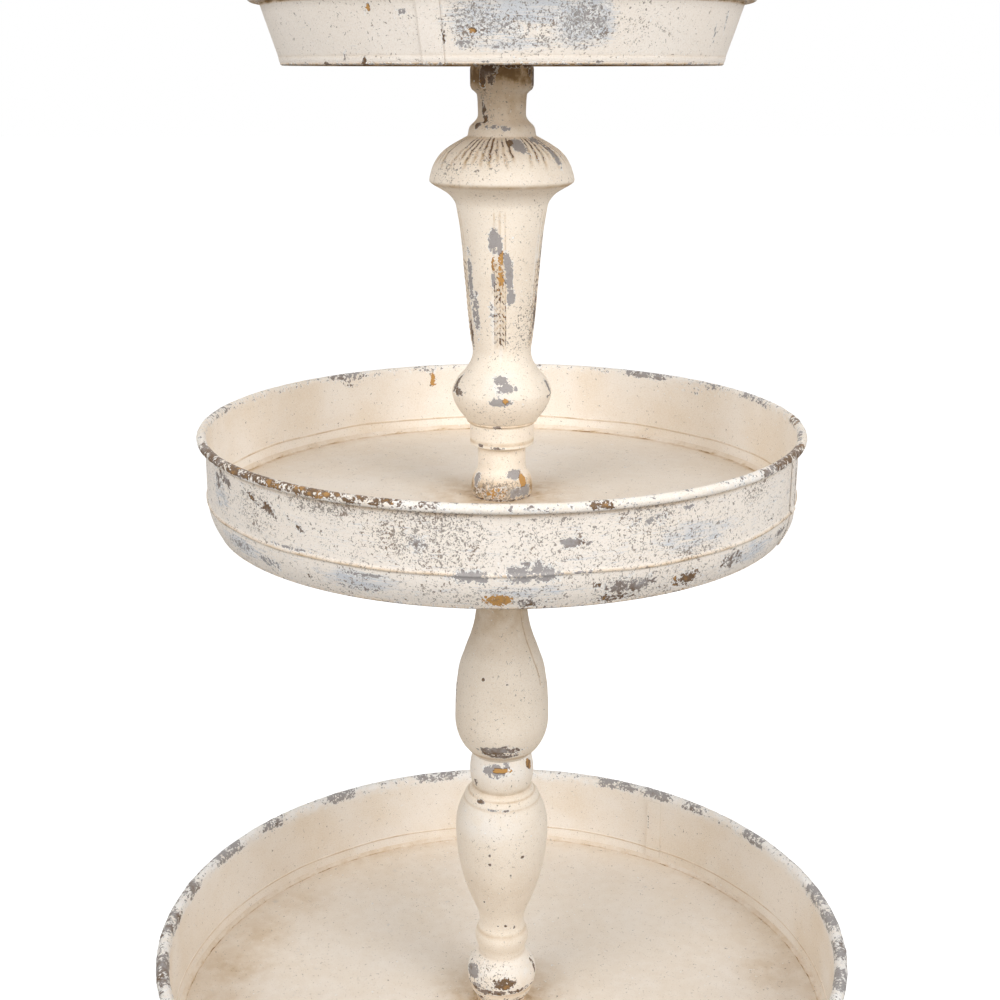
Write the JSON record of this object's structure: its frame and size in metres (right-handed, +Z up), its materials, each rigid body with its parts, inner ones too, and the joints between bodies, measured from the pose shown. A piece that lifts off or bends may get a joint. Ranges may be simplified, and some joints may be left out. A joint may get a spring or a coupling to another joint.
{
  "type": "tiered side table",
  "caption": "Tall round serving table with stacked sheet-metal trays that widen downwards on a turned wooden centre post, standing on turned feet, painted cream and worn.",
  "frame": {"origin": "on the floor under the centre post", "axes": "+Z up along the post, front towards -Y"},
  "size_m": [0.61, 0.61, 0.9484],
  "materials": {
    "painted_sheet_steel": "cream paint, brushed on and rubbed through",
    "painted_turned_wood": "cream paint, brushed on and rubbed through",
    "bare_steel": "plain, slightly dulled"
  },
  "bodies": {
    "root": {"top_tray_wall": "painted_sheet_steel", "top_tray_rim_wire": "bare_steel", "top_tray_floor": "painted_sheet_steel", "middle_tray_wall": "painted_sheet_steel", "middle_tray_rim_wire": "bare_steel", "middle_tray_floor": "painted_sheet_steel", "bottom_tray_wall_left": "painted_sheet_steel", "bottom_tray_wall_right": "painted_sheet_steel", "bottom_tray_rim_wire": "bare_steel", "bottom_tray_floor": "painted_sheet_steel", "upper_post": "painted_turned_wood", "lower_post": "painted_turned_wood", "foot_1": "painted_turned_wood", "foot_2": "painted_turned_wood", "foot_3": "painted_turned_wood", "foot_4": "painted_turned_wood", "tie_rod": "bare_steel", "top_washer": "bare_steel", "top_dome_nut": "bare_steel", "bottom_washer": "bare_steel", "bottom_nut": "bare_steel", "foot_plate_1": "bare_steel", "foot_bolt_1": "bare_steel", "foot_plate_2": "bare_steel", "foot_bolt_2": "bare_steel", "foot_plate_3": "bare_steel", "foot_bolt_3": "bare_steel", "foot_plate_4": "bare_steel", "foot_bolt_4": "bare_steel"}
  },
  "joints": []
}
